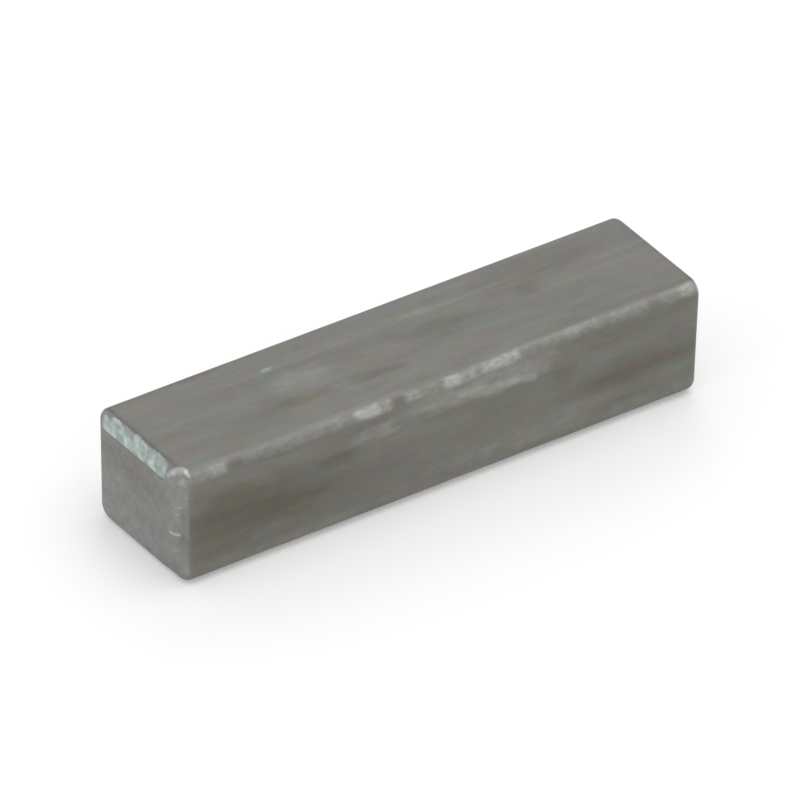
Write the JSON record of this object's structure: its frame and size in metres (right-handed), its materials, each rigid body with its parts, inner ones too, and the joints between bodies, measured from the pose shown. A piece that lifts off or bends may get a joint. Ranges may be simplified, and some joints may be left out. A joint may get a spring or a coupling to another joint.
{
  "type": "parallel key",
  "caption": "Square-ended parallel key of rectangular steel bar that locks a hub to a shaft.",
  "frame": {"origin": "middle of the underside, the face that sits on the floor of the shaft's keyway", "axes": "+X along the bar, away from the end with the ground bevel; +Y across the driving sides; +Z from the keyway floor up to the hub"},
  "size_m": [0.0322, 0.008, 0.007],
  "materials": {
    "key_steel": "cold-drawn grey steel, satin and a little stained, worn bright along one long edge and on the ground bevel"
  },
  "bodies": {
    "root": {"parallel_key": "key_steel"}
  },
  "joints": []
}
